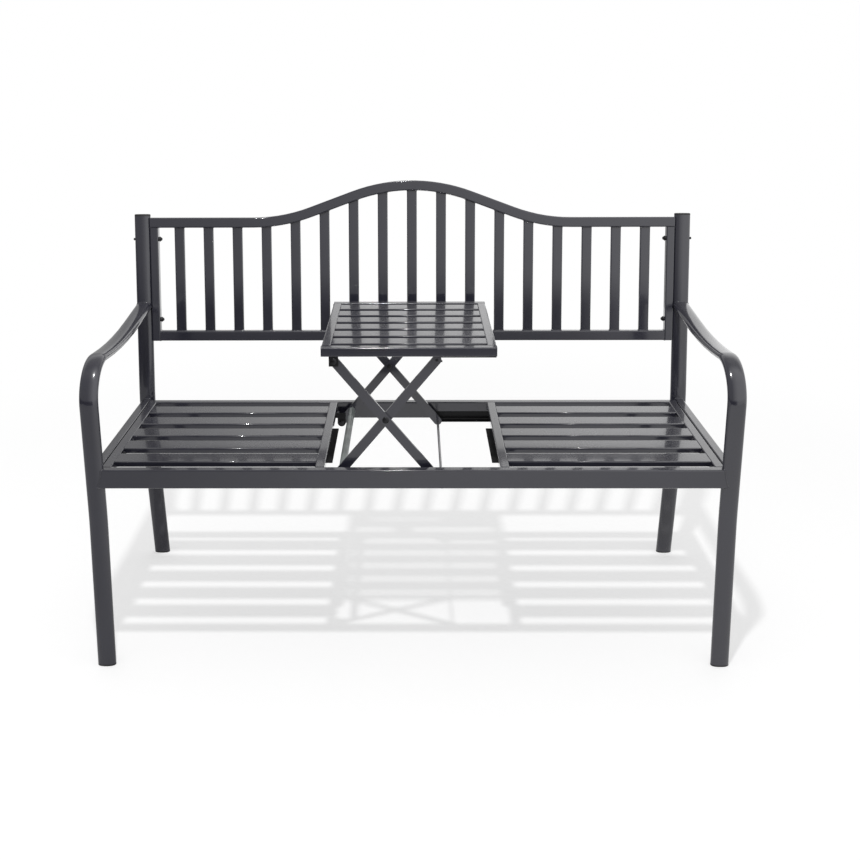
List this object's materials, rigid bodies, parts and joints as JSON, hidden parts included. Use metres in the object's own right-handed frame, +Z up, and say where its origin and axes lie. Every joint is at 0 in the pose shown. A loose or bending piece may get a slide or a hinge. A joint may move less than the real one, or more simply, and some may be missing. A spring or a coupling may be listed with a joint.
{
  "type": "garden bench",
  "caption": "Metal garden bench for two with an arched slatted back, curved arms and a slatted centre table that rises from the seat on a scissor lift.",
  "frame": {"origin": "centre of the bench's footprint box, on the ground under the feet", "axes": "+X along the bench to the right as seen from the front, +Y to the back, +Z up; the front faces -Y"},
  "size_m": [1.4072, 0.58, 1.0181],
  "materials": {
    "powder_coat": "glossy charcoal powder coat",
    "black_steel": "satin black paint",
    "black_plastic": "moulded, matte",
    "zinc": "zinc-plated"
  },
  "bodies": {
    "frame": {"left_arm_leg": "powder_coat", "right_arm_leg": "powder_coat", "left_back_post": "powder_coat", "right_back_post": "powder_coat", "left_stretcher": "powder_coat", "right_stretcher": "powder_coat", "front_seat_rail": "powder_coat", "rear_seat_rail": "powder_coat", "left_outer_seat_rail": "powder_coat", "left_inner_seat_rail": "powder_coat", "right_inner_seat_rail": "powder_coat", "right_outer_seat_rail": "powder_coat", "left_seat_slats": "powder_coat", "right_seat_slats": "powder_coat", "back_top_rail": "powder_coat", "back_bottom_rail": "powder_coat", "back_left_upright": "powder_coat", "back_right_upright": "powder_coat", "back_slats_left": "powder_coat", "back_slats_centre": "powder_coat", "back_slats_right": "powder_coat", "front_foot_caps": "black_plastic", "rear_foot_caps": "black_plastic", "post_caps": "black_plastic", "back_bolts": "zinc", "back_nuts": "black_plastic", "seat_bolts": "zinc", "seat_nuts": "black_plastic", "seat_spacers": "black_plastic", "left_table_ledge": "black_steel", "right_table_ledge": "black_steel", "front_slide_channel": "black_steel", "rear_slide_channel": "black_steel", "front_pivot_bracket": "black_steel", "rear_pivot_bracket": "black_steel", "lower_pivot_pins": "zinc"},
    "lift_arms": {"front_lift_arm": "powder_coat", "rear_lift_arm": "powder_coat", "lift_cross_tube": "powder_coat", "slide_pins": "zinc"},
    "slide_arms": {"front_slide_arm": "powder_coat", "rear_slide_arm": "powder_coat", "slide_rod": "zinc", "centre_pins": "black_steel", "centre_nuts": "black_steel", "centre_washers": "black_plastic"},
    "table": {"table_front_rail": "powder_coat", "table_rear_rail": "powder_coat", "table_left_rail": "powder_coat", "table_right_rail": "powder_coat", "table_slats": "powder_coat", "front_hinge_bracket": "black_steel", "rear_hinge_bracket": "black_steel", "table_hinge_pins": "zinc", "front_slot_plate": "black_steel", "rear_slot_plate": "black_steel"}
  },
  "joints": [
    {"name": "lift_pivot", "type": "hinge", "parent": "frame", "child": "lift_arms", "pos_m": [-0.1775, -0.04669, 0.4197], "axis": [0, 1, 0], "range_deg": [0, 48.06]},
    {"name": "scissor_centre", "type": "hinge", "parent": "lift_arms", "child": "slide_arms", "pos_m": [-0.05667, -0.04669, 0.56503], "axis": [0, 1, 0], "range_deg": [-96.12, 0]},
    {"name": "table_hinge", "type": "hinge", "parent": "slide_arms", "child": "table", "pos_m": [-0.16597, -0.04669, 0.6965], "axis": [0, 1, 0], "range_deg": [0, 48.06]}
  ],
  "couplings": [
    {"joint": "scissor_centre", "follows": "lift_pivot", "ratio": -2},
    {"joint": "table_hinge", "follows": "lift_pivot", "ratio": 1}
  ]
}
